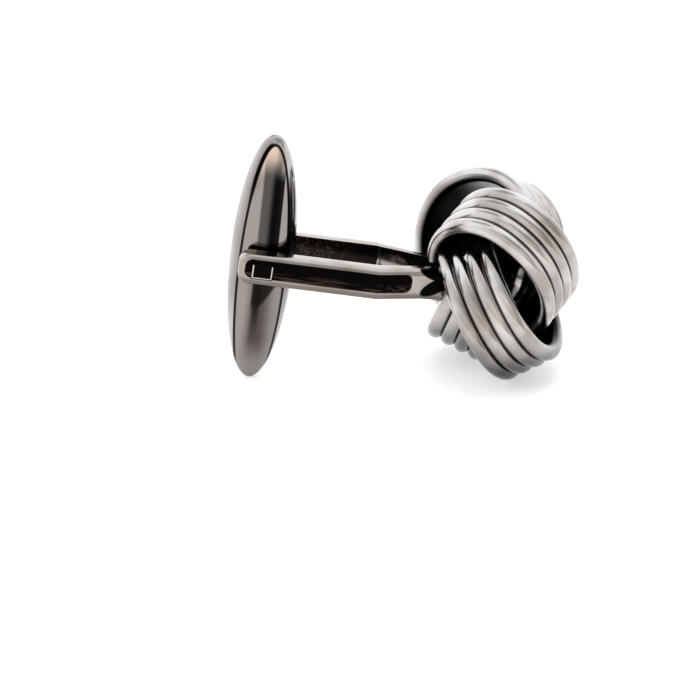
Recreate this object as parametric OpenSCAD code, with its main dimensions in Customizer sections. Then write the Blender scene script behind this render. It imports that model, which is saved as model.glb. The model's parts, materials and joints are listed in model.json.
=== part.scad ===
// Love-knot cufflink: a knot of four ribbed hoops on a forked post with a swivelling toggle.
// It rests on a surface at z = 0 on one tip of the toggle and on two lobes of the knot.
// The cufflink is built with the hinge at its origin, the post along +X and the toggle
// along Z, and is then leaned and lifted into this resting pose.

/* [Knot] */
// Diameter of the knot across two opposite hoops
knot_d = 15; // [13:0.5:17]
// Distance of each hoop's centre from the knot's axis
hoop_shift = 1.85; // [1.6:0.05:2.1]
// Tilt of each hoop against the plane across the knot's axis, in degrees
hoop_tilt = 41; // [36:1:46]
// Radius of each of the round ribs that make up a hoop
rib_r = 0.57; // [0.5:0.01:0.62]
// Distance from one rib's centre to the next
rib_pitch = 1.08; // [0.95:0.01:1.15]
// Thickness of the smooth backing behind the rib centres
backing_t = 0.5; // [0.3:0.05:0.8]
// Depth of each hoop's back half as a share of a full circle's
back_share = 0.8; // [0.75:0.05:1]
// Turn of the knot about the post, in degrees
knot_roll = 37.8; // [36:0.1:40]
// Upward lean of the knot on the post, in degrees, since it is soldered on askew
knot_lean = 8.4; // [6:0.1:10]
// Sideways lean of the knot on the post, in degrees
knot_yaw = 17; // [12:0.5:18]
// Distance from the knot's seat on the post to the knot's centre
knot_depth = 3.4; // [3.3:0.1:3.8]

/* [Post] */
// Distance from the hinge to the knot's seat
seat_x = 13; // [12.9:0.1:13.6]
// Width of the fork over both arms
fork_w = 6.3; // [6:0.1:6.6]
// Thickness of each arm
arm_t = 1.2; // [1:0.05:1.3]
// Height of the arms
arm_h = 2.25; // [2:0.05:2.4]
// Radius of the fork's long edges
edge_r = 0.5; // [0.3:0.05:0.55]
// Length of each arm beyond the hinge
arm_tail = 1.65; // [1.4:0.05:1.8]
// Distance from the hinge to where the arms start to draw together
bend_x = 8.1; // [7.8:0.1:8.4]
// Distance from the hinge to the closed end of the slot
slot_reach = 12.4; // [12:0.1:12.6]
// Diameter of the round stem that carries the knot
stem_d = 2.3; // [2:0.1:2.6]

/* [Toggle] */
// Length of the toggle from tip to tip
toggle_l = 18; // [17:0.1:18.4]
// Depth of the toggle along the post
toggle_depth = 4.5; // [4:0.05:4.8]
// Width of the toggle between the arms
toggle_w = 3.1; // [2.8:0.05:3.2]
// Distance from the hinge to the toggle's middle line
toggle_shift = 0.1; // [0:0.05:0.4]
// Turn of the toggle away from square to the post, in degrees
toggle_turn = 2.2; // [0:0.1:4]

/* [Hinge] */
// Radius of the pin where the toggle turns on it
pin_r = 0.55; // [0.45:0.01:0.55]
// Running clearance round the pin
pin_play = 0.05; // [0.03:0.01:0.08]
// Length of the pin's squared ends along the post
pin_end_l = 1.45; // [1.3:0.05:1.6]
// Height of the pin's squared ends
pin_end_h = 1.15; // [1.1:0.05:1.3]

/* [Resting pose] */
// Slope of the post down towards the knot, in degrees
rest_slope = 8.7; // [7:0.1:10]
// Distance from the hinge forward to the middle of the footprint
footprint_x = 9.87; // [9.5:0.01:11.5]
// Distance from the hinge sideways to the middle of the footprint
footprint_y = 1.13; // [0:0.01:1.5]

/* [Hidden] */
ribs = 4;
hoops = 4;
hoop_r = knot_d / 2 - hoop_shift;
rib_circle_r = hoop_r - rib_r;
core_r = 2.9;
core_dome = 1.2;
core_back = -2.2;
slot_w = fork_w - 2 * arm_t;
slot_end_w = 1.4;
neck_x = 11.3;
neck_w = 3.9;
seat_w = 3.4;
tail_corner = 0.75;
seat_gap = 0.02;
stem_lap = 0.5;
fine = 96;
toggle_tilt = rest_slope - toggle_turn;
// Height of the hinge when the toggle's tip touches the surface
hinge_z = toggle_shift * sin(toggle_tilt)
        + sqrt(pow(toggle_depth / 2 * sin(toggle_tilt), 2) + pow(toggle_l / 2 * cos(toggle_tilt), 2));

// Section of one hoop: a row of round ribs on a smooth backing with round rims
module band_section() {
    half_row = (ribs - 1) / 2 * rib_pitch;
    for (i = [0 : ribs - 1])
        translate([rib_circle_r, i * rib_pitch - half_row]) circle(r = rib_r, $fn = 48);
    translate([rib_circle_r - backing_t, -half_row]) square([backing_t, 2 * half_row]);
    for (side = [-1, 1])
        translate([rib_circle_r - backing_t / 2, side * half_row]) circle(d = backing_t, $fn = 32);
}

// One hoop, with its centre off the knot's axis and its plane tilted.
// Its front half is round and its back half is flatter.
module hoop() {
    translate([hoop_shift, 0, 0])
        rotate([hoop_tilt, 0, 0]) {
            rotate_extrude(angle = 180, $fn = fine) band_section();
            scale([1, back_share, 1])
                rotate([0, 0, 180]) rotate_extrude(angle = 180, $fn = fine) band_section();
        }
}

// Four interlaced hoops about the knot's own axis, front towards +Z
module interlaced_hoops() {
    for (k = [0 : hoops - 1])
        rotate([0, 0, k * 360 / hoops]) hoop();
}

// Solder core in the middle of the knot: a short drum with a domed front towards +Z,
// whose back is grown by a margin
module core(margin) {
    translate([0, 0, core_back - margin]) cylinder(r = core_r, h = margin - core_back, $fn = fine);
    scale([1, 1, core_dome / core_r]) sphere(r = core_r, $fn = fine);
}

// Leans the upright cufflink into its resting pose, origin under the middle of its box
module resting() {
    translate([-footprint_x, -footprint_y, hinge_z]) rotate([0, rest_slope, 0]) children();
}

// Carries the knot's centre to its place beyond the seat, turned askew, with its axis along +X
module on_seat() {
    translate([seat_x, 0, 0]) rotate([0, -knot_lean, knot_yaw]) translate([knot_depth, 0, 0]) children();
}

// The hoops' rims at the back are filed out to take the neck and stem of the post
module knot() {
    color("darkgray")
        resting() {
            difference() {
                on_seat() rotate([knot_roll, 0, 0]) rotate([0, 90, 0]) rotate([0, 0, 180]) interlaced_hoops();
                translate([0, 0, -arm_h / 2 - seat_gap])
                    linear_extrude(arm_h + 2 * seat_gap) neck_plan(seat_gap);
                stem(seat_gap);
            }
            on_seat() rotate([0, 90, 0]) core(0);
        }
}

// Plan of the part of the fork that narrows to the seat, grown by a margin
module neck_plan(margin) {
    polygon([[bend_x, -fork_w / 2 - margin], [neck_x, -neck_w / 2 - margin],
             [seat_x + margin, -seat_w / 2 - margin], [seat_x + margin, seat_w / 2 + margin],
             [neck_x, neck_w / 2 + margin], [bend_x, fork_w / 2 + margin]]);
}

// Round stem from within the neck into the core's place, grown by a margin
module stem(margin) {
    translate([seat_x - stem_lap, 0, 0]) rotate([0, 90, 0])
        cylinder(d = stem_d + 2 * margin, h = knot_depth + stem_lap, $fn = fine);
}

// Plan of the fork: two arms that draw together to the seat, with a slot between them
module fork_plan() {
    difference() {
        union() {
            translate([-arm_tail, -fork_w / 2]) square([bend_x + arm_tail, fork_w]);
            neck_plan(0);
        }
        polygon([[-2 * arm_tail, -slot_w / 2], [bend_x, -slot_w / 2], [slot_reach, -slot_end_w / 2],
                 [slot_reach, slot_end_w / 2], [bend_x, slot_w / 2], [-2 * arm_tail, slot_w / 2]]);
    }
}

// Side view of the fork: a bar whose free end is rounded
module fork_side() {
    translate([tail_corner - arm_tail, -arm_h / 2])
        square([seat_x + arm_tail - tail_corner, arm_h]);
    translate([-arm_tail, tail_corner - arm_h / 2]) square([tail_corner, arm_h - 2 * tail_corner]);
    for (side = [-1, 1])
        translate([tail_corner - arm_tail, side * (arm_h / 2 - tail_corner)])
            circle(r = tail_corner, $fn = 48);
}

// End view of the fork: a bar with rounded long edges
module fork_end() {
    square([arm_h - 2 * edge_r, fork_w], center = true);
    square([arm_h, fork_w - 2 * edge_r], center = true);
    for (x = [-1, 1], y = [-1, 1])
        translate([x * (arm_h / 2 - edge_r), y * (fork_w / 2 - edge_r)]) circle(r = edge_r, $fn = 48);
}

// Forked post with a square hole through each arm, and a round stem that ends just short of
// the core
module post() {
    color("dimgray")
        resting() {
            difference() {
                union() {
                    intersection() {
                        translate([0, 0, -arm_h]) linear_extrude(2 * arm_h) fork_plan();
                        rotate([90, 0, 0])
                            translate([0, 0, -fork_w]) linear_extrude(2 * fork_w) fork_side();
                        rotate([0, 90, 0])
                            translate([0, 0, -2 * arm_tail])
                                linear_extrude(seat_x + 4 * arm_tail) fork_end();
                    }
                    stem(0);
                }
                cube([pin_end_l + 2 * seat_gap, 2 * fork_w, pin_end_h + 2 * seat_gap], center = true);
                on_seat() rotate([0, 90, 0]) core(seat_gap);
            }
        }
}

// Pin: round where the toggle turns on it, squared where it sits still in the arms
module hinge_pin() {
    color("gray")
        resting() {
            rotate([90, 0, 0]) cylinder(r = pin_r, h = fork_w - arm_t, center = true, $fn = 48);
            for (side = [-1, 1])
                translate([0, side * (fork_w - arm_t) / 2, 0])
                    cube([pin_end_l, arm_t, pin_end_h], center = true);
        }
}

// Toggle: a long ellipsoid, drilled across for the pin, and turned a little from square to the post
module toggle() {
    color("darkslategray")
        resting()
            rotate([0, -toggle_turn, 0]) difference() {
                translate([toggle_shift, 0, 0])
                    scale([toggle_depth / 2, toggle_w / 2, toggle_l / 2]) sphere(r = 1, $fn = 64);
                rotate([90, 0, 0]) cylinder(r = pin_r + pin_play, h = 2 * toggle_w, center = true, $fn = 48);
            }
}

knot();
post();
hinge_pin();
toggle();
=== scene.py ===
# %% [markdown]
# # A love-knot cufflink
#
# The cufflink has four metal pieces: a knot of four ribbed hoops, a forked post, a pin
# across the fork, and a toggle that swivels on the pin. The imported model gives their
# places. This script models each piece again with smooth surfaces and rounded edges,
# because polished metal mirrors every facet, and gives each one its finish. Sizes are
# written in millimetres and turned to metres where they are used.

import json
import math

import bpy
from mathutils import Matrix, Vector
from mathutils.bvhtree import BVHTree


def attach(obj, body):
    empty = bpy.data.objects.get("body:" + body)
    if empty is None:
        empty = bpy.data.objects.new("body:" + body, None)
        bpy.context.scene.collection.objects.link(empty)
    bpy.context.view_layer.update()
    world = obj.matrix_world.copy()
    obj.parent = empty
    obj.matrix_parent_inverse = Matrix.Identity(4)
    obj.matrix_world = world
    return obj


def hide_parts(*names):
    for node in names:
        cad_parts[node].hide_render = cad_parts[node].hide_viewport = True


MM = 0.001
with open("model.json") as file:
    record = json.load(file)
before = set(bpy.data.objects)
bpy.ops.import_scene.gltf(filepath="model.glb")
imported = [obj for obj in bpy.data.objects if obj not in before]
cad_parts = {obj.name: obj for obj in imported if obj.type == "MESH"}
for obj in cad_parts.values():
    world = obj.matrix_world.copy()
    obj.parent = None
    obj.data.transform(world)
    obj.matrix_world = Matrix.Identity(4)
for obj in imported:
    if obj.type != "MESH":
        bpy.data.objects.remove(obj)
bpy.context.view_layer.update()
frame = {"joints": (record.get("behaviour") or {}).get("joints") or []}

# %% [markdown]
# ## Where the cufflink stands
#
# It leans on the lower tip of the toggle and on two lobes of the knot, so the post slopes
# down towards the knot. Every piece is modelled with the pin at the origin, the post along
# X and the toggle along Z, and is then leaned and lifted by one matrix. The joint in the
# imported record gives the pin's place.

# %% The resting place
REST_SLOPE = math.radians(8.7)
hinge = frame["joints"][0]
RESTING = Matrix.Translation(hinge["pos_m"]) @ Matrix.Rotation(REST_SLOPE, 4, "Y")
print("pin at, mm:", [round(1000 * side, 2) for side in hinge["pos_m"]])

# %% [markdown]
# ## Camera
#
# The photo looks down on the cufflink from its front with a long lens, so the
# perspective is faint. The camera stands 400 mm away, and its lens is worked out from the
# width that the picture covers at that distance. It is aimed so that the pin lies at its
# place in the photo, given in pixels from the upper left corner.

# %% Camera
AZIMUTH = math.radians(-3)
ELEVATION = math.radians(21.5)
CAMERA_MM = 400
PIXELS = 700
PIXELS_PER_MM = 14.4
PIN_PIXEL = (260.7, 256)
SENSOR = 36
NEAREST_M = 0.01
FARTHEST_M = 10

to_camera = Vector((
    math.sin(AZIMUTH) * math.cos(ELEVATION),
    -math.cos(AZIMUTH) * math.cos(ELEVATION),
    math.sin(ELEVATION),
))
turn = to_camera.to_track_quat("Z", "Y")
across = (PIXELS / 2 - PIN_PIXEL[0]) / PIXELS_PER_MM * MM
down = (PIXELS / 2 - PIN_PIXEL[1]) / PIXELS_PER_MM * MM
target = Vector(hinge["pos_m"]) + turn @ Vector((across, -down, 0))
lens_data = bpy.data.cameras.new("camera")
lens_data.sensor_width = SENSOR
lens_data.lens = SENSOR * CAMERA_MM * PIXELS_PER_MM / PIXELS
lens_data.clip_start = NEAREST_M
lens_data.clip_end = FARTHEST_M
camera = bpy.data.objects.new("camera", lens_data)
camera.rotation_mode = "QUATERNION"
camera.rotation_quaternion = turn
camera.location = target + to_camera * CAMERA_MM * MM
bpy.context.scene.collection.objects.link(camera)
bpy.context.scene.camera = camera
print("lens, mm:", round(lens_data.lens, 1))

# %% [markdown]
# ## Nodes for materials
#
# A material is a small graph. One function adds a node with its settings, and gives each
# input a link or a plain value. Colours are picked as sRGB hex values, and the shader
# wants linear ones.

# %% Helpers for materials


def hex_colour(code):
    """Turn an sRGB hex value into a linear colour with full alpha."""
    parts = [int(code[i:i + 2], 16) / 255 for i in (0, 2, 4)]
    linear = [p / 12.92 if p <= 0.04045 else ((p + 0.055) / 1.055) ** 2.4 for p in parts]
    return (*linear, 1)


def set_inputs(tree, node, **inputs):
    """Link an input where its value is a socket, and else set it. _2 means input 2."""
    for name, value in inputs.items():
        key = int(name[1:]) if name[1:].isdigit() else name.replace("_", " ")
        if isinstance(value, bpy.types.NodeSocket):
            tree.links.new(value, node.inputs[key])
        else:
            node.inputs[key].default_value = value


def add_node(tree, kind, settings=None, **inputs):
    """Add a shader node with its settings and inputs."""
    node = tree.nodes.new("ShaderNode" + kind)
    for name, value in (settings or {}).items():
        setattr(node, name, value)
    set_inputs(tree, node, **inputs)
    return node


# %% [markdown]
# ## Gunmetal plating
#
# The real pieces look like brass that was plated with a thin layer of dark nickel alloy,
# which jewellers call gunmetal, and then buffed. Buffing gives a mirror that is darker and
# warmer than silver. The tone drifts slowly, in patches about 3 mm wide. Fine wheel marks,
# drawn 0.1 mm wide so that they show, vary the gloss, and a faint waviness bends the mirror.
#
# Many dark places on the metal are painted: painted reflections of dark things that this scene doesn't
# have, which a plain mirror would lose, and painted shade in grooves, hollows and recesses. They stay put
# when the camera moves. Each is a layer over the buffed metal: a mask, a colour and a roughness.

# %% Gunmetal
WAVE_MM = 1.4
DRIFT_MM = 3
DRIFT_RANGE = (0.35, 0.65)
MARK_MM = 0.1
MARK_RANGE = (0.3, 0.7)
GLOSS_SPREAD = 0.15
SMOOTH = {"interpolation_type": "SMOOTHSTEP"}


def gunmetal(name, buffed, drifted, roughness, layers=(), wave=0.01):
    """Plated and buffed metal. A layer is (mask function, hex colour, roughness).

    The waves that bend the mirror are given by their height in millimetres.
    """
    material = bpy.data.materials.new(name)
    material.use_nodes = True
    tree = material.node_tree
    place = add_node(tree, "TexCoord").outputs["Object"]
    drift = add_node(tree, "TexNoise", Vector=place, Scale=1 / (DRIFT_MM * MM), Detail=2.0)
    tone = add_node(
        tree, "MapRange", SMOOTH, Value=drift.outputs["Fac"],
        From_Min=DRIFT_RANGE[0], From_Max=DRIFT_RANGE[1],
    )
    colour = add_node(
        tree, "Mix", {"data_type": "RGBA"}, _0=tone.outputs[0],
        _6=hex_colour(buffed), _7=hex_colour(drifted),
    ).outputs[2]
    marks = add_node(tree, "TexNoise", Vector=place, Scale=1 / (MARK_MM * MM), Detail=3.0)
    gloss = add_node(
        tree, "MapRange", Value=marks.outputs["Fac"], From_Min=MARK_RANGE[0], From_Max=MARK_RANGE[1],
        To_Min=(1 - GLOSS_SPREAD) * roughness, To_Max=(1 + GLOSS_SPREAD) * roughness,
    ).outputs[0]
    for mask_function, layer_colour, layer_roughness in layers:
        mask = mask_function(tree)
        colour = add_node(
            tree, "Mix", {"data_type": "RGBA"}, _0=mask, _6=colour, _7=hex_colour(layer_colour),
        ).outputs[2]
        gloss = add_node(
            tree, "Mix", {"data_type": "FLOAT"}, _0=mask, _2=gloss, _3=layer_roughness,
        ).outputs[0]
    waves = add_node(tree, "TexNoise", Vector=place, Scale=1 / (WAVE_MM * MM), Detail=1.0)
    bump = add_node(tree, "Bump", Height=waves.outputs["Fac"], Strength=1.0, Distance=wave * MM)
    set_inputs(
        tree, tree.nodes["Principled BSDF"],
        Base_Color=colour, Roughness=gloss, Metallic=1.0, Normal=bump.outputs["Normal"],
    )
    print(name, "nodes:", len(tree.nodes))
    return material


# %% [markdown]
# ## Masks
#
# The hoops store in the attribute "painted_shade" how much painted shade each point gets, from 0 to 1.
# The other pieces store in "place_mm" each point's place before the cufflink is leaned, in
# millimetres: along the post, across it and up. The attribute "side" is 1 where a face
# looks away from the middle of the cufflink, and -1 where it looks into the slot.
#
# A mask could be painted by hand, but one that is worked out from these values stays sharp
# at any size. Most of them are patches: a product of soft limits, and each limit names a
# place where the patch is clear and one where it is full.

# %% Helpers for masks
BOW = -0.45
SLANT = -0.62


def stored_place(tree):
    """A point's place before the cufflink is leaned, in millimetres."""
    return add_node(tree, "Attribute", {"attribute_name": "place_mm"}).outputs["Vector"]


def measure(tree, limit):
    """The value that a limit is set on. The limits are named as seen from the front."""
    if limit in ("inner", "outer"):
        return line_distance(tree)
    if limit == "line":
        return add_node(tree, "Math", {"operation": "ABSOLUTE"}, _0=line_distance(tree)).outputs[0]
    parts = add_node(tree, "SeparateXYZ", Vector=stored_place(tree)).outputs
    along, up = parts["X"], parts["Z"]
    if limit == "slanted_right":
        return add_node(
            tree, "Math", {"operation": "MULTIPLY_ADD"}, _0=up, _1=SLANT, _2=along,
        ).outputs[0]
    if limit == "bowed_top":
        square = add_node(tree, "Math", {"operation": "MULTIPLY"}, _0=along, _1=along).outputs[0]
        return add_node(
            tree, "Math", {"operation": "MULTIPLY_ADD"}, _0=square, _1=BOW, _2=up,
        ).outputs[0]
    return along if limit in ("left", "right") else up


def patch(strength, **limits):
    """A mask function. Each limit is (where it is clear, where it is full), in millimetres."""
    def mask(tree):
        product = strength
        for limit, (clear, full) in limits.items():
            edge = add_node(
                tree, "MapRange", SMOOTH, Value=measure(tree, limit), From_Min=clear, From_Max=full,
            ).outputs[0]
            product = add_node(tree, "Math", {"operation": "MULTIPLY"}, _0=product, _1=edge).outputs[0]
        return product
    return mask


def both(first, second):
    """A mask function that is full only where two others are."""
    def mask(tree):
        return add_node(tree, "Math", {"operation": "MULTIPLY"}, _0=first(tree), _1=second(tree)).outputs[0]
    return mask


# %% [markdown]
# ## Finish of the knot
#
# The backs of the ribs are a satin mirror. The grooves between them, the inner walls and the hollows
# between the hoops are black with painted shade, and the lobes that turn to the table are darkened with
# painted shade. The middle of the knot is nearly black with small glints: its dark colour is painted shade,
# and the glints come from its bumps.

# %% Finish of the knot and its core
LOBES_CLEAR = 5.4
LOBES_DARK = 0.7
LOBES_STRENGTH = 0.92
SOLDER_WAVE = 0.1


def groove_and_hollow_shade(tree):
    """Painted shade in the grooves between the ribs, on the inner walls of the hoops and in the hollows
    between them.
    """
    return add_node(tree, "Attribute", {"attribute_name": "painted_shade"}).outputs["Fac"]


def shaded_low_lobes(tree):
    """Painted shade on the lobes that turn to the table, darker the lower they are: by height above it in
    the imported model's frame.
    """
    place = add_node(tree, "TexCoord").outputs["Object"]
    height = add_node(tree, "SeparateXYZ", Vector=place).outputs["Z"]
    return add_node(
        tree, "MapRange", SMOOTH, Value=height, From_Min=LOBES_CLEAR * MM, From_Max=LOBES_DARK * MM,
        To_Max=LOBES_STRENGTH,
    ).outputs[0]


# The knot's dark layers are painted shade: black in the grooves, inner walls and hollows, and darker low on
# the lobes that turn to the table.
knot_metal = gunmetal("gunmetal_buffed_knot", "c0bcb9", "9a928c", 0.14, [
    (shaded_low_lobes, "353536", 0.16),
    (groove_and_hollow_shade, "090807", 0.3),
])
# The core's near-black colour is painted shade for the dark middle of the knot.
shaded_core_metal = gunmetal("solder_core_painted_shade", "211f1e", "141312", 0.12, wave=SOLDER_WAVE)

# %% [markdown]
# ## Finish of the post
#
# The outer side of each arm is flat from edge to edge. A flat mirror shows one dark thing all over, so the
# flat is painted black between bright rounded edges, as a painted reflection, and the lower edges are made
# less bright with painted shade. The mask for the flat is a rectangle with rounded corners: how far a point
# is outside a smaller rectangle, less than the corner's radius.

# %% Flats and lower edges
FLAT_FROM = -1.25
FLAT_TO = 10.5
FLAT_MIDDLE = 0.16
FLAT_HALF = 0.68
FLAT_CORNER = 0.5
FLAT_BLUR = 0.04
OUTWARD = 0.05
NO_LIMIT = 100


def outer_side(tree):
    """The faces that look away from the slot."""
    side = add_node(tree, "Attribute", {"attribute_name": "side"}).outputs["Fac"]
    return add_node(tree, "Math", {"operation": "GREATER_THAN"}, _0=side, _1=OUTWARD).outputs[0]


def rounded_bar(tree):
    """A rectangle with rounded corners, as long as the flat of an arm."""
    middle = ((FLAT_FROM + FLAT_TO) / 2, 0, FLAT_MIDDLE)
    reach = ((FLAT_TO - FLAT_FROM) / 2 - FLAT_CORNER, NO_LIMIT, FLAT_HALF - FLAT_CORNER)
    place = stored_place(tree)
    offset = add_node(tree, "VectorMath", {"operation": "SUBTRACT"}, _0=place, _1=middle).outputs[0]
    away = add_node(tree, "VectorMath", {"operation": "ABSOLUTE"}, _0=offset).outputs[0]
    beyond = add_node(tree, "VectorMath", {"operation": "SUBTRACT"}, _0=away, _1=reach).outputs[0]
    outside = add_node(tree, "VectorMath", {"operation": "MAXIMUM"}, _0=beyond, _1=(0, 0, 0)).outputs[0]
    distance = add_node(tree, "VectorMath", {"operation": "LENGTH"}, _0=outside).outputs["Value"]
    return add_node(
        tree, "MapRange", SMOOTH, Value=distance,
        From_Min=FLAT_CORNER + FLAT_BLUR, From_Max=FLAT_CORNER - FLAT_BLUR,
    ).outputs[0]


# The black of the flat is a painted reflection, and the darker lower edges are painted shade.
reflected_black_flat = both(rounded_bar, outer_side)
shaded_lower_edge = both(patch(0.85, top=(-0.45, -0.75)), outer_side)

# %% [markdown]
# Where the neck meets the knot two dark ovals are drawn, as black as the flat. The lower half of the flats
# has faint brown streaks, which are drawn 0.14 mm wide so that they show.

# %% Dark ovals and streaks
OVAL_CLEAR = 1.05
OVAL_FULL = 0.88
STREAK_MM = 0.14
STREAK_STRETCH = 0.06
STREAK_RANGE = (0.48, 0.62)
STREAK_STRENGTH = 0.75


def oval(middle, half_length, half_height, tilt=0):
    """A mask function for an oval, tilted in degrees."""
    shares = (1 / half_length, 0, 1 / half_height)

    def mask(tree):
        place = stored_place(tree)
        offset = add_node(tree, "VectorMath", {"operation": "SUBTRACT"}, _0=place, _1=middle).outputs[0]
        level = add_node(
            tree, "VectorRotate", {"rotation_type": "Y_AXIS"}, Vector=offset, Angle=math.radians(tilt),
        ).outputs[0]
        share = add_node(tree, "VectorMath", {"operation": "MULTIPLY"}, _0=level, _1=shares).outputs[0]
        reach = add_node(tree, "VectorMath", {"operation": "LENGTH"}, _0=share).outputs["Value"]
        return add_node(
            tree, "MapRange", SMOOTH, Value=reach, From_Min=OVAL_CLEAR, From_Max=OVAL_FULL,
        ).outputs[0]
    return mask


def streaks(tree):
    """Thin lines along the post."""
    stretch = (STREAK_STRETCH, 1.0, 1.0)
    drawn = add_node(
        tree, "VectorMath", {"operation": "MULTIPLY"}, _0=stored_place(tree), _1=stretch,
    ).outputs[0]
    lines = add_node(tree, "TexNoise", Vector=drawn, Scale=1 / STREAK_MM, Detail=2.0)
    return add_node(
        tree, "MapRange", SMOOTH, Value=lines.outputs["Fac"],
        From_Min=STREAK_RANGE[0], From_Max=STREAK_RANGE[1], To_Max=STREAK_STRENGTH,
    ).outputs[0]


dark_oval_high = both(oval((11.75, 0, 0.95), half_length=0.95, half_height=0.4, tilt=-25), outer_side)
dark_oval_low = both(oval((12.25, 0, 0), half_length=1.3, half_height=0.52, tilt=32), outer_side)
flat_streaks = both(both(streaks, patch(1.0, top=(0.25, -0.35))), reflected_black_flat)

# %% [markdown]
# The walls of the slot are painted nearly black, as painted shade between the arms. Just past the bend of
# the arms a patch is clear, and along the bend a thin line is left clear, so that the bare metal there
# stands in for the light that the bend catches. The metal shows where the painted shade is thin.

# %% Slot walls
INWARD = -0.5
CLEAR_MIDDLE = (9.4, 0, 0.1)
CLEAR_HALF_L = 0.91
CLEAR_HALF_H = 0.625
CLEAR_BLUR = 0.2
CLEAR_SHADE = 0.03
BEND_LINE_X = 8.35
BEND_LINE = (0.02, 0.09)


def inner_side(tree):
    """The faces that look into the slot."""
    side = add_node(tree, "Attribute", {"attribute_name": "side"}).outputs["Fac"]
    return add_node(tree, "Math", {"operation": "LESS_THAN"}, _0=side, _1=INWARD).outputs[0]


def slot_shade(tree):
    """Painted shade in the slot, thin on the clear patch and gone along the bend."""
    place = stored_place(tree)
    offset = add_node(tree, "VectorMath", {"operation": "SUBTRACT"}, _0=place, _1=CLEAR_MIDDLE).outputs[0]
    shares = (1 / CLEAR_HALF_L, 0, 1 / CLEAR_HALF_H)
    share = add_node(tree, "VectorMath", {"operation": "MULTIPLY"}, _0=offset, _1=shares).outputs[0]
    reach = add_node(tree, "VectorMath", {"operation": "LENGTH"}, _0=share).outputs["Value"]
    round_patch = add_node(
        tree, "MapRange", SMOOTH, Value=reach, From_Min=1 - CLEAR_BLUR, From_Max=1 + CLEAR_BLUR,
        To_Min=CLEAR_SHADE,
    ).outputs[0]
    along = add_node(tree, "SeparateXYZ", Vector=place).outputs["X"]
    past = add_node(tree, "Math", {"operation": "SUBTRACT"}, _0=along, _1=BEND_LINE_X).outputs[0]
    off = add_node(tree, "Math", {"operation": "ABSOLUTE"}, _0=past).outputs[0]
    off_bend = add_node(
        tree, "MapRange", SMOOTH, Value=off, From_Min=BEND_LINE[0], From_Max=BEND_LINE[1],
    ).outputs[0]
    return add_node(tree, "Math", {"operation": "MULTIPLY"}, _0=round_patch, _1=off_bend).outputs[0]


# The dark on the slot walls is painted shade.
shaded_slot_wall = both(inner_side, slot_shade)

# %% [markdown]
# The first half of the slot has brown specks, such as old polish leaves. They are drawn
# 0.22 mm wide so that they show. The post's finish then takes all its layers, each over the
# ones before it.

# %% Specks and the post's finish
STAIN_MM = 0.22
STAIN_RANGE = (0.5, 0.62)
STAIN_STRENGTH = 0.7


def specks(tree):
    """Brown specks."""
    place = add_node(tree, "TexCoord").outputs["Object"]
    grains = add_node(tree, "TexNoise", Vector=place, Scale=1 / (STAIN_MM * MM), Detail=6.0, Roughness=0.7)
    return add_node(
        tree, "MapRange", SMOOTH, Value=grains.outputs["Fac"],
        From_Min=STAIN_RANGE[0], From_Max=STAIN_RANGE[1], To_Max=STAIN_STRENGTH,
    ).outputs[0]


slot_stain = both(both(specks, patch(1.0, right=(7.0, 5.0))), shaded_slot_wall)

post_metal = gunmetal("gunmetal_mirror_post", "a39a93", "8d837b", 0.14, [
    (shaded_lower_edge, "6c635d", 0.2),
    (reflected_black_flat, "080706", 0.2),
    (flat_streaks, "3d3029", 0.35),
    (dark_oval_high, "080706", 0.2),
    (dark_oval_low, "080706", 0.2),
    (shaded_slot_wall, "1c1917", 0.25),
    (slot_stain, "54423a", 0.5),
])

# %% [markdown]
# ## Finish of the pin
#
# The pin's ends lie in the black flats and carry the same painted reflection, as dark. Only the bevels
# round three of their sides show, as a bright outline.

# %% Pin's finish
PIN_FLAT = 0.98
PIN_TOP = 0.42


def pin_reflected_black(tree):
    """The flat ends of the pin, inside their bevels, and the bevels along the top, which get the flats'
    painted reflection.
    """
    side = add_node(tree, "Attribute", {"attribute_name": "side"}).outputs["Fac"]
    flat = add_node(tree, "Math", {"operation": "GREATER_THAN"}, _0=side, _1=PIN_FLAT).outputs[0]
    height = add_node(tree, "SeparateXYZ", Vector=stored_place(tree)).outputs["Z"]
    top = add_node(tree, "Math", {"operation": "GREATER_THAN"}, _0=height, _1=PIN_TOP).outputs[0]
    return add_node(tree, "Math", {"operation": "MAXIMUM"}, _0=flat, _1=top).outputs[0]


pin_metal = gunmetal("gunmetal_mirror_pin", "d0c9c3", "b7aea7", 0.16, [(pin_reflected_black, "0b0908", 0.25)])

# %% [markdown]
# ## Finish of the toggle
#
# The flank of the toggle is painted as a darker panel inside a brighter rim, with a thin black line between
# them all round: painted reflections of the dark and bright things round a polished bar. The far flank is
# drawn the same. The line is an ellipse, and the distance to it is the ellipse's own equation divided by
# how steeply that rises.

# %% Distance to the thin line
LINE_MIDDLE = (0.1, 0, -0.9)
LINE_HALF_W = 1.62
LINE_HALF_L = 9.3


def line_distance(tree):
    """How far a point is outside the line round the flank, in millimetres."""
    place = stored_place(tree)
    offset = add_node(tree, "VectorMath", {"operation": "SUBTRACT"}, _0=place, _1=LINE_MIDDLE).outputs[0]
    shares = (1 / LINE_HALF_W, 0, 1 / LINE_HALF_L)
    slopes = (1 / LINE_HALF_W ** 2, 0, 1 / LINE_HALF_L ** 2)
    share = add_node(tree, "VectorMath", {"operation": "MULTIPLY"}, _0=offset, _1=shares).outputs[0]
    slope = add_node(tree, "VectorMath", {"operation": "MULTIPLY"}, _0=offset, _1=slopes).outputs[0]
    reach = add_node(tree, "VectorMath", {"operation": "DOT_PRODUCT"}, _0=share, _1=share).outputs["Value"]
    rise = add_node(tree, "VectorMath", {"operation": "LENGTH"}, _0=slope).outputs["Value"]
    excess = add_node(tree, "Math", {"operation": "SUBTRACT"}, _0=reach, _1=1.0).outputs[0]
    double = add_node(tree, "Math", {"operation": "MULTIPLY"}, _0=rise, _1=2.0).outputs[0]
    return add_node(tree, "Math", {"operation": "DIVIDE"}, _0=excess, _1=double).outputs[0]
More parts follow.
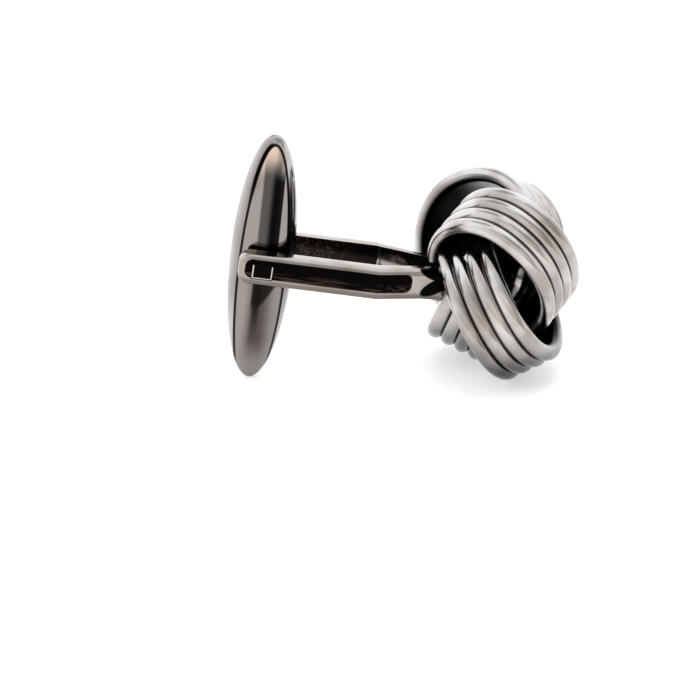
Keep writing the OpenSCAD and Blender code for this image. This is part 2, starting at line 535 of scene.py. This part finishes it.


# %% [markdown]
# The dark shapes on the flank are painted reflections: black and grey above the arms, a wedge just under
# them and brown below with a darker strip in it, each a soft patch. Where the arms cover the flank it is
# black, as painted shade. Beside the thin line on the right runs a broader black band, another painted
# reflection, and outside the line on the upper left the rim is darker. The upper tip has a painted
# highlight.

# %% Patches and the toggle's finish
# Every patch here is painted light: painted reflections on the flank, painted shade where the arms cover
# it, and a painted highlight at the tip.
reflected_panel = patch(1.0, outer=(0.05, -0.05), top=(8.2, 4.5))
rim_shade = patch(0.7, inner=(0.0, 0.08), outer=(0.55, 0.15), right=(0.0, -0.5), bottom=(-5, -1))
tip_shine = patch(0.85, outer=(0.0, -0.2), bottom=(6.0, 7.7))
grey_reflection = patch(0.9, left=(-0.55, -0.36), right=(0.9, 0.6), top=(8.1, 6.0), bottom=(-0.5, 0.5))
brown_reflection = patch(0.9, left=(-1.0, -0.1), right=(1.5, 0.3), top=(0.0, -1.5), bottom=(-8.4, -5.5))
dark_strip_reflection = patch(0.9, left=(-0.5, -0.15), right=(0.35, 0.0), top=(0.0, -1.5), bottom=(-6.5, -3.4))
wedge_reflection = patch(0.92, left=(-0.5, -0.36), slanted_right=(2.35, 2.05), top=(0.5, -0.5), bottom=(-3.7, -2.9))
black_reflection = patch(0.98, left=(-0.05, 0.42), right=(1.08, 0.98), top=(7.7, 5.8), bottom=(-0.5, 0.5))
fork_shade = patch(0.93, left=(-0.95, -0.8), bowed_top=(0.72, 0.58), bottom=(-1.2, -0.6))
thin_reflected_line = patch(0.97, line=(0.115, 0.055))
bold_reflected_line = patch(0.97, line=(0.17, 0.11), right=(0.3, -0.2), bottom=(3.5, 6.0))
right_reflected_band = patch(0.95, inner=(-0.12, -0.04), outer=(0.3, 0.22), left=(0.5, 1.0), top=(7.0, 4.5), bottom=(-1, 0))

toggle_metal = gunmetal("gunmetal_mirror_toggle", "aeabaa", "a29d9a", 0.09, [
    (reflected_panel, "8a837e", 0.09),
    (rim_shade, "80766f", 0.12),
    (tip_shine, "dccabe", 0.12),
    (grey_reflection, "3f3c39", 0.12),
    (brown_reflection, "433b36", 0.15),
    (dark_strip_reflection, "1d1917", 0.2),
    (wedge_reflection, "141210", 0.2),
    (black_reflection, "060505", 0.15),
    (fork_shade, "0d0b0a", 0.2),
    (thin_reflected_line, "050404", 0.2),
    (bold_reflected_line, "050404", 0.2),
    (right_reflected_band, "050404", 0.2),
])

# %% [markdown]
# ## Selecting in a script
#
# Operators act on everything that is selected, so each step first selects only what it
# needs. With no mouse to click, the points, edges and faces are picked by a test of their
# place or their normal.

# %% Helpers for selecting
NEARBY = 0.01


def only(*pieces):
    """Select these objects and nothing else. The last one becomes active."""
    bpy.ops.object.select_all(action="DESELECT")
    for piece in pieces:
        piece.select_set(True)
        bpy.context.view_layer.objects.active = piece


def edit_mode():
    bpy.ops.object.mode_set(mode="EDIT")


def object_mode():
    bpy.ops.object.mode_set(mode="OBJECT")


def pick(piece, kind, wanted):
    """In edit mode, select the vertices, edges or polygons that a test accepts."""
    object_mode()
    kinds = ("vertices", "edges", "polygons")
    bpy.context.tool_settings.mesh_select_mode = [kind == each for each in kinds]
    for part in (piece.data.vertices, piece.data.edges, piece.data.polygons):
        part.foreach_set("select", [False] * len(part))
    chosen = [part for part in getattr(piece.data, kind) if wanted(part)]
    for part in chosen:
        part.select = True
    edit_mode()
    return len(chosen)


def near(value, goal):
    """Are two lengths in millimetres the same, apart from rounding?"""
    return abs(value - goal) < NEARBY


# %% [markdown]
# ## Round profiles
#
# A round piece could start from a ready ring or ball, but most profiles here are made of
# several arcs. So one starts as a single point, which arcs extend into a line. The line is
# then turned into a solid, as on a lathe.

# %% Helpers for round profiles
SAME_PLACE = 0.001


def start_point(name, at):
    """A new mesh of a single vertex, in edit mode: a tiny plane merged to its centre."""
    bpy.ops.object.select_all(action="DESELECT")
    bpy.ops.mesh.primitive_plane_add(size=MM)
    piece = bpy.context.object
    piece.name = name
    edit_mode()
    bpy.ops.mesh.select_all(action="SELECT")
    bpy.ops.mesh.merge(type="CENTER")
    bpy.ops.transform.translate(value=Vector(at) * MM)
    return piece


def arc(centre, degrees, steps):
    """Sweep the selected end of a profile about a centre in the XZ plane, anticlockwise."""
    bpy.ops.mesh.spin(steps=steps, angle=math.radians(degrees), center=Vector(centre) * MM, axis=(0, 1, 0))


def lathe(steps):
    """Spin a whole profile about the Z axis and merge the doubled points where it closes."""
    bpy.ops.mesh.select_all(action="SELECT")
    bpy.ops.mesh.spin(steps=steps, angle=math.tau, center=(0, 0, 0), axis=(0, 0, 1))
    bpy.ops.mesh.select_all(action="SELECT")
    bpy.ops.mesh.remove_doubles(threshold=SAME_PLACE * MM)
    bpy.ops.mesh.normals_make_consistent(inside=False)
    object_mode()


# %% [markdown]
# ## One ribbed hoop
#
# Each hoop of the real knot is a band of four parallel round ribs, with a smooth wall
# inside. It could be four rings side by side, but their hidden halves would cross. A single
# profile is cleaner: arcs for the ribs, joined at the grooves, and one straight inner wall.
# The profile is spun about the hoop's axis. The back half is then pressed flatter.

# %% Ribbed hoop
RIBS = 4
RIB_R = 0.57
RIB_PITCH = 1.08
RIB_CIRCLE_R = 5.08
BACK_SHARE = 0.8
HOOP_STEPS = 144
RIM_STEPS = 22
RIB_STEPS = 12
groove_angle = math.degrees(math.asin(RIB_PITCH / 2 / RIB_R))
half_row = (RIBS - 1) / 2 * RIB_PITCH


def ribbed_hoop(name):
    """One closed hoop about the Z axis, with the attribute that marks its dull parts."""
    hoop = start_point(name, (RIB_CIRCLE_R - RIB_R, 0, -half_row))
    arc((RIB_CIRCLE_R, 0, -half_row), 180 + groove_angle, RIM_STEPS)
    for i in range(1, RIBS - 1):
        arc((RIB_CIRCLE_R, 0, i * RIB_PITCH - half_row), 2 * groove_angle, RIB_STEPS)
    arc((RIB_CIRCLE_R, 0, half_row), 180 + groove_angle, RIM_STEPS)
    object_mode()
    inner = RIB_CIRCLE_R - RIB_R + SAME_PLACE
    pick(hoop, "vertices", lambda v: v.co.x / MM < inner and near(abs(v.co.z / MM), half_row))
    bpy.ops.mesh.edge_face_add()
    lathe(HOOP_STEPS)
    mark_groove_shade(hoop)
    pick(hoop, "vertices", lambda v: v.co.y < -SAME_PLACE * MM)
    bpy.ops.transform.resize(value=(1, BACK_SHARE, 1), center_override=(0, 0, 0))
    object_mode()
    return hoop


# %% [markdown]
# The grooves and the inner wall get painted shade. Their place is known from the distance to the hoop's
# axis, so each vertex stores how much painted shade it gets, from 0 to 1.

# %% Painted shade in grooves and inner walls
GROOVE_DARK = 0.36
GROOVE_CLEAR = 0.62
WALL_CLEAR = -0.2
WALL_DARK = -0.7


def mark_groove_shade(hoop):
    """Store how much painted shade each vertex gets: 1 deep in a groove or on the inner wall."""
    painted_shade = hoop.data.attributes.new("painted_shade", "FLOAT", "POINT")
    for vertex in hoop.data.vertices:
        x, y, z = vertex.co / MM
        height = (math.hypot(x, y) - RIB_CIRCLE_R) / RIB_R
        if height < WALL_CLEAR:
            value = min(1, (WALL_CLEAR - height) / (WALL_CLEAR - WALL_DARK))
        elif abs(z) < half_row:
            value = min(1, max(0, (GROOVE_CLEAR - height) / (GROOVE_CLEAR - GROOVE_DARK)))
        else:
            value = 0
        painted_shade.data[vertex.index].value = value


# %% [markdown]
# The hollows between the hoops get painted shade too. This function finds them in the joined knot: it looks
# out from each vertex in many directions, and adds up how much of its view the hoops block. Steps of the
# golden angle spread the directions evenly.

# %% Hollows between the hoops
LOOKS = 24
LOOK_MM = 7
LOOK_START = 0.02
LOOK_LOWEST = 0.1
HIDDEN_FROM = 0.45
HIDDEN_FULL = 0.72


def mark_hollow_shade(piece):
    """Raise the painted shade of each vertex where its surroundings wall it in."""
    mesh = piece.data
    walls = BVHTree.FromPolygons([v.co for v in mesh.vertices], [f.vertices for f in mesh.polygons])
    golden = math.pi * (3 - math.sqrt(5))
    looks = []
    for i in range(LOOKS):
        up = 1 - (2 * i + 1) / LOOKS
        flat = math.sqrt(1 - up * up)
        looks.append(Vector((flat * math.cos(golden * i), flat * math.sin(golden * i), up)))
    painted_shade = mesh.attributes["painted_shade"]
    for vertex in mesh.vertices:
        start = vertex.co + vertex.normal * LOOK_START * MM
        blocked = total = 0
        for look in looks:
            weight = look.dot(vertex.normal)
            if weight > LOOK_LOWEST:
                total += weight
                if walls.ray_cast(start, look, LOOK_MM * MM)[0] is not None:
                    blocked += weight
        hidden = (blocked / total - HIDDEN_FROM) / (HIDDEN_FULL - HIDDEN_FROM)
        value = painted_shade.data[vertex.index].value
        painted_shade.data[vertex.index].value = min(1, max(value, hidden))


# %% [markdown]
# ## Placing and joining
#
# A finished piece sits at the origin, unturned, with its place written into its mesh. Each
# modifier is applied at once, so that the next step works on the finished mesh. Of the
# Boolean solvers the manifold one is the quickest, and all it asks for is closed meshes.

# %% Helpers for placing and joining


def apply_place(piece, matrix=Matrix()):
    """Move a piece by a matrix and write its place into its mesh."""
    only(piece)
    piece.matrix_world = matrix @ piece.matrix_world
    bpy.ops.object.transform_apply(location=True, rotation=True, scale=True)


def add_modifier(piece, kind, **settings):
    """Give a piece a modifier and apply it at once."""
    only(piece)
    modifier = piece.modifiers.new(kind.lower(), kind)
    for name, value in settings.items():
        setattr(modifier, name, value)
    bpy.ops.object.modifier_apply(modifier=modifier.name)


def boolean(piece, operation, other):
    """Join another closed mesh to a piece or cut it away, and delete it."""
    add_modifier(piece, "BOOLEAN", operation=operation, object=other, solver="MANIFOLD")
    bpy.data.objects.remove(other)


# %% [markdown]
# ## The knot
#
# Four such hoops interlace. Each has its centre off the knot's axis and its plane tilted,
# and they follow each other by a quarter turn. The real ones are joined where they cross,
# so here a Boolean modifier joins them into one skin. The finished knot sits askew on its
# seat at the end of the post, as the photo shows.

# %% The knot
HOOPS = 4
HOOP_SHIFT = 1.85
HOOP_TILT = 41
KNOT_ROLL = 37.8
KNOT_LEAN = 8.4
KNOT_YAW = 17
KNOT_DEPTH = 3.4
SEAT_X = 13
SMOOTH_ANGLE = math.radians(32)


def turned(degrees, axis):
    """A turn about an axis."""
    return Matrix.Rotation(math.radians(degrees), 4, axis)


on_seat = (
    Matrix.Translation((SEAT_X * MM, 0, 0)) @ turned(KNOT_YAW, "Z") @ turned(-KNOT_LEAN, "Y")
    @ Matrix.Translation((KNOT_DEPTH * MM, 0, 0))
)
knot_place = RESTING @ on_seat @ turned(KNOT_ROLL, "X") @ turned(90, "Y") @ turned(180, "Z")
hoops = []
for k in range(HOOPS):
    hoop = ribbed_hoop(f"hoop_{k}")
    tilt = Matrix.Translation((HOOP_SHIFT * MM, 0, 0)) @ turned(HOOP_TILT, "X")
    apply_place(hoop, knot_place @ turned(k * 360 / HOOPS, "Z") @ tilt)
    hoops.append(hoop)
knot = hoops[0]
knot.name = "ribbed_knot"
for hoop in hoops[1:]:
    boolean(knot, "UNION", hoop)
only(knot)
bpy.ops.object.shade_smooth_by_angle(angle=SMOOTH_ANGLE)
print("knot faces:", len(knot.data.polygons))

# %% [markdown]
# ## The solder core
#
# What shows through the holes of the real knot is dark, with small glints. It is taken to
# be a lumpy dome of the solder that holds the hoops. A ball would be too tall and too
# smooth. So it is turned on a lathe from a profile, a flattened quarter circle over a short
# straight drum, and clouds of noise then push its skin in and out.

# %% Solder core
CORE_R = 2.9
CORE_DOME = 1.2
CORE_BACK = 2.2
CORE_LUMPS = 0.3
CORE_SIDES = 72
DOME_STEPS = 24
DRUM_STEPS = 8
LUMP_MM = 0.9
LUMP_LEVEL = 0.75

core = start_point("solder_core", (CORE_R, 0, 0))
arc((0, 0, 0), 90, DOME_STEPS)
bpy.ops.mesh.select_all(action="SELECT")
bpy.ops.transform.resize(value=(1, 1, CORE_DOME / CORE_R), center_override=(0, 0, 0))
pick(core, "vertices", lambda v: v.co.z < SAME_PLACE * MM)
for move in ((0, 0, -CORE_BACK), (-CORE_R, 0, 0)):
    step = Vector(move) * MM / DRUM_STEPS
    for _ in range(DRUM_STEPS):
        bpy.ops.mesh.extrude_region_move(TRANSFORM_OT_translate={"value": step})
lathe(CORE_SIDES)
lumps = bpy.data.textures.new("solder_lumps", "CLOUDS")
lumps.noise_scale = LUMP_MM * MM
add_modifier(
    core, "DISPLACE", texture=lumps, strength=CORE_LUMPS * MM, mid_level=LUMP_LEVEL, texture_coords="LOCAL",
)
apply_place(core, RESTING @ on_seat @ turned(90, "Y"))
bpy.ops.object.shade_smooth()
print("core faces:", len(core.data.polygons))

# %% [markdown]
# ## The forked post
#
# The fork is two bars that run side by side past the toggle, draw together, and end in a
# short neck with a round stem, which is soldered into the knot. It could be cut out of one
# block, but pulling faces out of a cube leaves clean edges to bevel. The cube is the closed
# end of the fork. Two of its faces are pulled out into the arms in three steps, and the
# rings at the steps are then squeezed to the fork's plan.

# %% Fork
FORK_W = 6.3
ARM_T = 1.2
ARM_H = 2.25
ARM_TAIL = 1.65
BEND_X = 8.1
NECK_X = 11.3
NECK_W = 3.9
SLOT_REACH = 12.4
SLOT_END_W = 1.4
SEAT_W = 3.4
STEM_D = 2.3
FACING = 0.9
slot_w = FORK_W - 2 * ARM_T

bpy.ops.object.select_all(action="DESELECT")
bpy.ops.mesh.primitive_cube_add(
    size=1,
    location=((SLOT_REACH + SEAT_X) / 2 * MM, 0, 0),
    scale=((SEAT_X - SLOT_REACH) * MM, FORK_W * MM, ARM_H * MM),
)
fork = bpy.context.object
fork.name = "forked_post"
apply_place(fork)
edit_mode()
for side in (-1, 1):
    bpy.ops.mesh.select_all(action="SELECT")
    bpy.ops.mesh.bisect(plane_co=(0, side * slot_w / 2 * MM, 0), plane_no=(0, 1, 0))
pick(fork, "polygons", lambda f: f.normal.x < -FACING and abs(f.center.y / MM) > slot_w / 2)
for start, end in ((SLOT_REACH, NECK_X), (NECK_X, BEND_X), (BEND_X, -ARM_TAIL)):
    bpy.ops.mesh.extrude_region_move(TRANSFORM_OT_translate={"value": ((end - start) * MM, 0, 0)})
object_mode()
print("fork faces before it is squeezed:", len(fork.data.polygons))

# %% [markdown]
# The plan gives the fork's width and the slot's width at each step. Scaling one ring of
# points towards the middle plane moves both arms by the same amount.

# %% The fork's plan
slot_share = (NECK_X - BEND_X) / (SLOT_REACH - BEND_X)
slot_at_neck = slot_w + slot_share * (SLOT_END_W - slot_w)
reach_share = (SLOT_REACH - NECK_X) / (SEAT_X - NECK_X)
width_at_reach = NECK_W + reach_share * (SEAT_W - NECK_W)


def squeeze(piece, x, old_w, new_w):
    """Bring the points at one step from an old width across the fork to a new one."""
    pick(piece, "vertices", lambda v: near(v.co.x / MM, x) and near(abs(v.co.y) / MM, old_w / 2))
    bpy.ops.transform.resize(value=(1, new_w / old_w, 1), center_override=(0, 0, 0))
    object_mode()


squeeze(fork, NECK_X, slot_w, slot_at_neck)
squeeze(fork, NECK_X, FORK_W, NECK_W)
squeeze(fork, SLOT_REACH, slot_w, SLOT_END_W)
squeeze(fork, SLOT_REACH, FORK_W, width_at_reach)
squeeze(fork, SEAT_X, slot_w, SLOT_END_W)
squeeze(fork, SEAT_X, FORK_W, SEAT_W)
print("slot at the neck, mm:", round(slot_at_neck, 2))

# %% [markdown]
# The free ends of the arms are rounded first, as seen from the side, and then the long
# outer edges all the way to the neck. Both are bevels with many segments, on edges that are
# found by their place.

# %% The fork's rounded ends and edges
TAIL_CORNER = 0.75
TAIL_STEPS = 8
EDGE_R = 0.5
EDGE_STEPS = 6
half_widths = {
    -ARM_TAIL: FORK_W / 2,
    BEND_X: FORK_W / 2,
    NECK_X: NECK_W / 2,
    SLOT_REACH: width_at_reach / 2,
    SEAT_X: SEAT_W / 2,
}


def outer_width(x):
    """Half the fork's width at a place along it, straight from step to step."""
    steps = sorted(half_widths)
    x = min(max(x, steps[0]), steps[-1])
    before = max(step for step in steps if step <= x)
    after = min(step for step in steps if step >= x)
    share = (x - before) / (after - before) if after > before else 0
    return half_widths[before] + share * (half_widths[after] - half_widths[before])


def ends(piece, edge):
    """The two end points of an edge, in millimetres."""
    return [piece.data.vertices[i].co / MM for i in edge.vertices]


def is_tail_edge(edge):
    """Does an edge run across the end of an arm, at its top or bottom?"""
    first, second = ends(fork, edge)
    return near(first.x, -ARM_TAIL) and near(second.x, -ARM_TAIL) and near(first.z, second.z)


def is_outer_edge(edge):
    """Does an edge lie in the outer side of the fork and border its top, bottom or tail?"""
    first, second = ends(fork, edge)
    outside = all(near(abs(p.y), outer_width(p.x)) for p in (first, second))
    at_tail = near(first.x, -ARM_TAIL) and near(second.x, -ARM_TAIL)
    return outside and (at_tail or abs(first.x - second.x) > SAME_PLACE)


print("tail edges:", pick(fork, "edges", is_tail_edge))
bpy.ops.mesh.bevel(offset=TAIL_CORNER * MM, segments=TAIL_STEPS)
print("outer edges:", pick(fork, "edges", is_outer_edge))
bpy.ops.mesh.bevel(offset=EDGE_R * MM, segments=EDGE_STEPS)
object_mode()

# %% [markdown]
# The stem and the holes for the pin's squared ends are Booleans, because they cross faces
# that are finished already. A last fine bevel breaks the edges that are still sharp, as a
# light pass of the wheel does.

# %% Stem and pin holes
STEM_LAP = 0.5
SEAT_GAP = 0.02
PIN_END_L = 1.45
PIN_END_H = 1.15
STEM_SIDES = 64
FINE_EDGE = 0.1
FINE_STEPS = 3
SHARP_ANGLE = math.radians(50)

bpy.ops.object.select_all(action="DESELECT")
stem_end = SEAT_X + KNOT_DEPTH - CORE_BACK
bpy.ops.mesh.primitive_cylinder_add(
    vertices=STEM_SIDES, radius=STEM_D / 2 * MM, depth=(stem_end - SEAT_X + STEM_LAP) * MM,
    location=((SEAT_X - STEM_LAP + stem_end) / 2 * MM, 0, 0), rotation=(0, math.pi / 2, 0),
)
stem = bpy.context.object
apply_place(stem)
boolean(fork, "UNION", stem)
bpy.ops.object.select_all(action="DESELECT")
bpy.ops.mesh.primitive_cube_add(
    size=1, scale=((PIN_END_L + 2 * SEAT_GAP) * MM, 2 * FORK_W * MM, (PIN_END_H + 2 * SEAT_GAP) * MM),
)
hole = bpy.context.object
apply_place(hole)
boolean(fork, "DIFFERENCE", hole)
add_modifier(
    fork, "BEVEL", width=FINE_EDGE * MM, segments=FINE_STEPS,
    limit_method="ANGLE", angle_limit=SHARP_ANGLE,
)
print("post faces:", len(fork.data.polygons))

# %% [markdown]
# The fork's finish follows its shape: black flats with bright rounded edges, and a dark
# slot. So that the material can find them, each vertex stores its place in millimetres and
# each face stores its side, before the fork is leaned into its resting place.

# %% Places and sides


def store_places(piece):
    """Store the places of the vertices, in millimetres, and the sides that the faces look to."""
    places = piece.data.attributes.new("place_mm", "FLOAT_VECTOR", "POINT")
    for vertex in piece.data.vertices:
        places.data[vertex.index].vector = vertex.co / MM
    sides = piece.data.attributes.new("side", "FLOAT", "FACE")
    for face in piece.data.polygons:
        sides.data[face.index].value = math.copysign(face.normal.y, face.normal.y * face.center.y)


store_places(fork)
apply_place(fork, RESTING)
bpy.ops.object.shade_smooth_by_angle(angle=SMOOTH_ANGLE)

# %% [markdown]
# The real post is soldered in between the hoops. Here a copy of the post, fattened by the
# gap that keeps the pieces apart, is cut out of the knot.

# %% The post's seat in the knot
only(fork)
bpy.ops.object.duplicate()
seat = bpy.context.object
edit_mode()
bpy.ops.mesh.select_all(action="SELECT")
bpy.ops.transform.shrink_fatten(value=SEAT_GAP * MM)
object_mode()
boolean(knot, "DIFFERENCE", seat)
mark_hollow_shade(knot)
print("knot faces with the seat:", len(knot.data.polygons))

# %% [markdown]
# ## The pin
#
# The pin's ends are square in the photo, so it can't turn in the arms, and inside the
# toggle it has to be round. So it is a cylinder with a small block joined to each end. The
# blocks are bevelled first, because the bevels catch the light as a bright outline.

# %% Pin
PIN_R = 0.55
PIN_SIDES = 48
PIN_BEVEL = 0.1

bpy.ops.object.select_all(action="DESELECT")
bpy.ops.mesh.primitive_cylinder_add(
    vertices=PIN_SIDES, radius=PIN_R * MM, depth=(FORK_W - ARM_T) * MM, rotation=(math.pi / 2, 0, 0),
)
pin = bpy.context.object
pin.name = "squared_pin"
apply_place(pin)
for side in (-1, 1):
    bpy.ops.object.select_all(action="DESELECT")
    bpy.ops.mesh.primitive_cube_add(
        size=1, location=(0, side * (FORK_W - ARM_T) / 2 * MM, 0),
        scale=(PIN_END_L * MM, ARM_T * MM, PIN_END_H * MM),
    )
    end = bpy.context.object
    apply_place(end)
    add_modifier(end, "BEVEL", width=PIN_BEVEL * MM, segments=FINE_STEPS)
    boolean(pin, "UNION", end)
store_places(pin)
apply_place(pin, RESTING)
bpy.ops.object.shade_smooth_by_angle(angle=SMOOTH_ANGLE)
print("pin faces:", len(pin.data.polygons))

# %% [markdown]
# ## The toggle
#
# The toggle is a slim torpedo, thicker along the post than across it, drilled for the pin.
# It could be turned on a lathe and pressed flat. A sphere is quicker: its poles are already
# at the two tips, and stretching it keeps the rings across the toggle, so the reflections
# flow smoothly from tip to tip.

# %% Toggle
TOGGLE_L = 18
TOGGLE_DEPTH = 4.5
TOGGLE_W = 3.1
TOGGLE_SHIFT = 0.1
TOGGLE_TURN = 2.2
TOGGLE_SIDES = 96
TOGGLE_RINGS = 80
PIN_PLAY = 0.05

bpy.ops.object.select_all(action="DESELECT")
bpy.ops.mesh.primitive_uv_sphere_add(segments=TOGGLE_SIDES, ring_count=TOGGLE_RINGS, radius=MM)
toggle = bpy.context.object
toggle.name = "torpedo_toggle"
edit_mode()
bpy.ops.mesh.select_all(action="SELECT")
bpy.ops.transform.resize(value=(TOGGLE_DEPTH / 2, TOGGLE_W / 2, TOGGLE_L / 2), center_override=(0, 0, 0))
bpy.ops.transform.translate(value=(TOGGLE_SHIFT * MM, 0, 0))
object_mode()
bpy.ops.mesh.primitive_cylinder_add(
    vertices=PIN_SIDES, radius=(PIN_R + PIN_PLAY) * MM, depth=2 * TOGGLE_W * MM,
    rotation=(math.pi / 2, 0, 0),
)
bore = bpy.context.object
apply_place(bore)
boolean(toggle, "DIFFERENCE", bore)
store_places(toggle)
apply_place(toggle, RESTING @ turned(-TOGGLE_TURN, "Y"))
bpy.ops.object.shade_smooth_by_angle(angle=SMOOTH_ANGLE)
print("toggle faces:", len(toggle.data.polygons))

# %% [markdown]
# ## Putting the pieces on the frame
#
# Each piece stands for the imported node that it models again, and rides on that node's body. The knot and
# its solder core both stand for the knot.

# %% Pieces, bodies and finishes
for piece, node, body, slot, metal in (
    (knot, "knot", "post", "knot_metal", knot_metal),
    (core, "knot", "post", "knot_metal", shaded_core_metal),
    (fork, "post", "post", "post_metal", post_metal),
    (pin, "hinge_pin", "post", "pin_metal", pin_metal),
    (toggle, "toggle", "toggle", "toggle_metal", toggle_metal),
):
    piece.data.materials.clear()
    piece.data.materials.append(metal)
    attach(piece, body)
    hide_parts(node)
    print(piece.name, "stands for", node, "on", body)

# %% [markdown]
# ## Floor
#
# The photo was taken on white. The floor is matt white card that glows faintly, like a table lit from
# below, which keeps the shadow light. It isn't part of the cufflink.

# %% Floor
FLOOR_M = 6

bpy.ops.object.select_all(action="DESELECT")
bpy.ops.mesh.primitive_plane_add(size=FLOOR_M)
floor = bpy.context.object
floor.name = "floor"
card = bpy.data.materials.new("matt_white_card")
card.use_nodes = True
set_inputs(
    card.node_tree, card.node_tree.nodes["Principled BSDF"],
    Base_Color=hex_colour("c4c4c4"), Roughness=0.9, Specular_IOR_Level=0.1,
    Emission_Color=hex_colour("ffffff"), Emission_Strength=0.5,
)
floor.data.materials.append(card)
print("floor, m:", FLOOR_M)

# %% [markdown]
# ## Lamps
#
# Two large soft boxes draw the faint shadow on the floor. They stay out of the reflections,
# because their square shapes would show as hard spots on the metal.

# %% Lamps


def direction(azimuth, elevation):
    """The unit vector to a direction in degrees. Azimuth 0 is the front, 90 the right."""
    a, e = math.radians(azimuth), math.radians(elevation)
    return Vector((math.sin(a) * math.cos(e), -math.cos(a) * math.cos(e), math.sin(e)))


def soft_box(name, azimuth, elevation, distance, size, watts):
    """A square lamp that faces the cufflink from a direction, in degrees and millimetres."""
    lamp_data = bpy.data.lights.new(name, "AREA")
    lamp_data.size = size * MM
    lamp_data.energy = watts
    lamp = bpy.data.objects.new(name, lamp_data)
    lamp.location = direction(azimuth, elevation) * distance * MM
    lamp.rotation_euler = direction(azimuth, elevation).to_track_quat("Z", "Y").to_euler()
    lamp.visible_glossy = False
    bpy.context.scene.collection.objects.link(lamp)
    print(name, "watts:", watts)


soft_box("overhead", azimuth=160, elevation=75, distance=700, size=500, watts=2)
soft_box("front_left", azimuth=-60, elevation=45, distance=700, size=350, watts=1)

# %% [markdown]
# ## The white tent
#
# Polished metal shows what stands round it, so the walls of the photographer's tent matter
# more than the lamps. They could be built as planes, but painting the world by direction is
# simpler. A soft round glow or a dim patch is a strength that changes with the angle from
# one direction.

# %% A glow in one direction
world = bpy.data.worlds.new("white_tent")
world.use_nodes = True
sky = world.node_tree
away = add_node(sky, "TexCoord").outputs["Generated"]


def glow(azimuth, elevation, inner, outer, at_middle, at_edge):
    """A strength that changes from a direction outwards, between two angles in degrees."""
    towards = direction(azimuth, elevation)
    facing = add_node(sky, "VectorMath", {"operation": "DOT_PRODUCT"}, _0=away, _1=towards).outputs["Value"]
    return add_node(
        sky, "MapRange", SMOOTH, Value=facing, From_Min=math.cos(math.radians(outer)),
        From_Max=math.cos(math.radians(inner)), To_Min=at_edge, To_Max=at_middle,
    ).outputs[0]


# %% [markdown]
# The roof and the back of the tent are cool white, the front wall is warmer, and all fade a
# little towards the camera. Soft dim patches stand for gaps and folds in the cloth, and
# give the ribs their streaks.

# %% The white tent
ROOF_EDGE = 27
ROOF_AZIMUTH = 17
ROOF_BLUR = 0.06
GAPS = (
    # azimuth, elevation, inner and outer angle in degrees, strength in the middle
    (40, 5, 4, 26, 0.6),
    (35, 48, 8, 28, 0.5),
    (-25, 50, 6, 26, 0.75),
    (70, 30, 5, 22, 0.45),
    (-150, 62, 8, 26, 0.5),
    (120, 20, 4, 18, 0.5),
)

roof_up = direction(ROOF_AZIMUTH + 180, 90 - ROOF_EDGE)
height = add_node(sky, "VectorMath", {"operation": "DOT_PRODUCT"}, _0=away, _1=roof_up).outputs["Value"]
front_share = add_node(
    sky, "MapRange", SMOOTH, Value=height, From_Min=ROOF_BLUR, From_Max=-ROOF_BLUR,
).outputs[0]
tent = add_node(
    sky, "Mix", {"data_type": "RGBA"}, _0=front_share, _6=hex_colour("f2f5f8"), _7=hex_colour("f0e7df"),
).outputs[2]
strength = glow(180, 15, inner=20, outer=150, at_middle=1.9, at_edge=1.35)
for azimuth, elevation, inner, outer, dimmest in GAPS:
    gap = glow(azimuth, elevation, inner, outer, dimmest, 1.0)
    strength = add_node(sky, "Math", {"operation": "MULTIPLY"}, _0=strength, _1=gap).outputs[0]
set_inputs(sky, sky.nodes["Background"], Color=tent, Strength=strength)
bpy.context.scene.world = world
bpy.context.scene.view_settings.view_transform = "Standard"
print("tent nodes:", len(sky.nodes))
